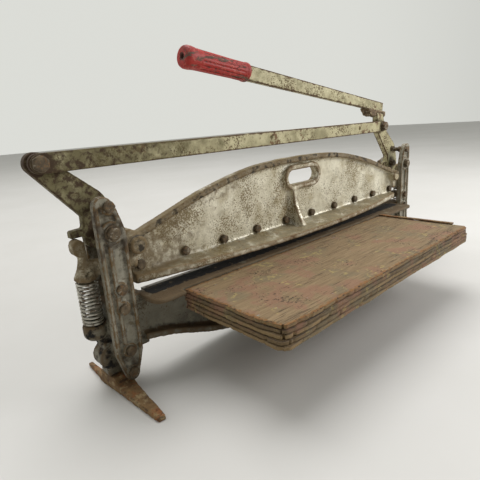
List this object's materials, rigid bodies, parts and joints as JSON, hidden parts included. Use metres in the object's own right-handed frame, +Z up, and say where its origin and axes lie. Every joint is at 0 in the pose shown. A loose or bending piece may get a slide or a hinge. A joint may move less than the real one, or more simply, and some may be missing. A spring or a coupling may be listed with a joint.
{
  "type": "tile cutter",
  "caption": "Bench tile cutter: crescent blade carrier sliding between bolted uprights, long lever with tie bar and cranks, return springs, fish-belly base and wooden tile board.",
  "frame": {"origin": "bottom centre of the overall box, on the floor", "axes": "+X along the cut towards the handle's pivot, +Y to the back, away from the tile board, +Z up"},
  "size_m": [0.7432, 0.262, 0.382],
  "materials": {
    "cast_silver": "cast, silver paint, worn and stained",
    "upright_paint": "cast, silver paint, grimy",
    "lever_paint": "old cream paint with rust spots",
    "blade_steel": "ground, oxidised",
    "plywood": "worn plywood with paint traces",
    "spring_steel": "drawn wire",
    "grip_rubber": "ribbed, worn",
    "weld_steel": "rusty weld",
    "foot_steel": "rusty",
    "trim_steel": "rusty sheet",
    "bolt_steel": "rusty bolts"
  },
  "bodies": {
    "frame": {"base_casting": "cast_silver", "front_upright_left": "upright_paint", "front_upright_right": "upright_paint", "rear_upright_left": "upright_paint", "rear_upright_right": "upright_paint", "lower_blade": "blade_steel", "board": "plywood", "spring_left": "spring_steel", "spring_right": "spring_steel", "foot_left": "foot_steel", "foot_right": "foot_steel", "board_edge_strip": "trim_steel", "board_bracket_1": "trim_steel", "board_bracket_2": "trim_steel", "foot_bolt_left": "bolt_steel", "stop_spacer_left": "bolt_steel", "pivot_bolt_left": "bolt_steel", "pivot_nut_left": "bolt_steel", "stop_bolt_left": "bolt_steel", "stop_nut_left": "bolt_steel", "clamp_bolt_c_left": "bolt_steel", "clamp_bolt_d_left": "bolt_steel", "clamp_bolt_e_left": "bolt_steel", "clamp_bolt_f_left": "bolt_steel", "foot_bolt_right": "bolt_steel", "stop_spacer_right": "bolt_steel", "pivot_bolt_right": "bolt_steel", "pivot_nut_right": "bolt_steel", "stop_bolt_right": "bolt_steel", "stop_nut_right": "bolt_steel", "clamp_bolt_c_right": "bolt_steel", "clamp_bolt_d_right": "bolt_steel", "clamp_bolt_e_right": "bolt_steel", "clamp_bolt_f_right": "bolt_steel"},
    "carrier": {"blade_carrier": "cast_silver", "upper_blade": "blade_steel", "blade_bolt_1": "bolt_steel", "blade_bolt_2": "bolt_steel", "blade_bolt_3": "bolt_steel", "blade_bolt_4": "bolt_steel", "blade_bolt_5": "bolt_steel", "blade_bolt_6": "bolt_steel", "blade_bolt_7": "bolt_steel", "blade_bolt_8": "bolt_steel", "blade_bolt_9": "bolt_steel", "blade_bolt_10": "bolt_steel"},
    "lever_right": {"crank_right": "lever_paint", "handle_bar": "lever_paint", "handle_grip": "grip_rubber", "handle_saddle": "weld_steel", "tie_bolt_right": "bolt_steel", "tie_nut_right": "bolt_steel"},
    "lever_left": {"crank_left": "lever_paint", "tie_bolt_left": "bolt_steel", "tie_nut_left": "bolt_steel"},
    "tie": {"tie_bar": "lever_paint"}
  },
  "joints": [
    {"name": "handle_swing", "type": "hinge", "parent": "frame", "child": "lever_right", "pos_m": [0.3333, 0.078, 0.185], "axis": [0, -1, 0], "range_deg": [0, 18]},
    {"name": "left_crank_swing", "type": "hinge", "parent": "frame", "child": "lever_left", "pos_m": [-0.3087, 0.078, 0.185], "axis": [0, -1, 0], "range_deg": [0, 18]},
    {"name": "tie_bar_pivot", "type": "hinge", "parent": "lever_right", "child": "tie", "pos_m": [0.2823, 0.06775, 0.2615], "axis": [0, -1, 0], "range_deg": [-18, 0]},
    {"name": "carrier_slide", "type": "slide", "parent": "frame", "child": "carrier", "axis": [0, 0, -1], "range_m": [0, 0.0099], "stiffness_N_per_m": 14400, "springref_m": -0.012, "deforming": ["spring_left", "spring_right"]}
  ],
  "couplings": [
    {"joint": "left_crank_swing", "follows": "handle_swing", "ratio": 1},
    {"joint": "tie_bar_pivot", "follows": "handle_swing", "ratio": -1},
    {"joint": "carrier_slide", "follows": "handle_swing", "m_per_rad": 0.0312}
  ]
}
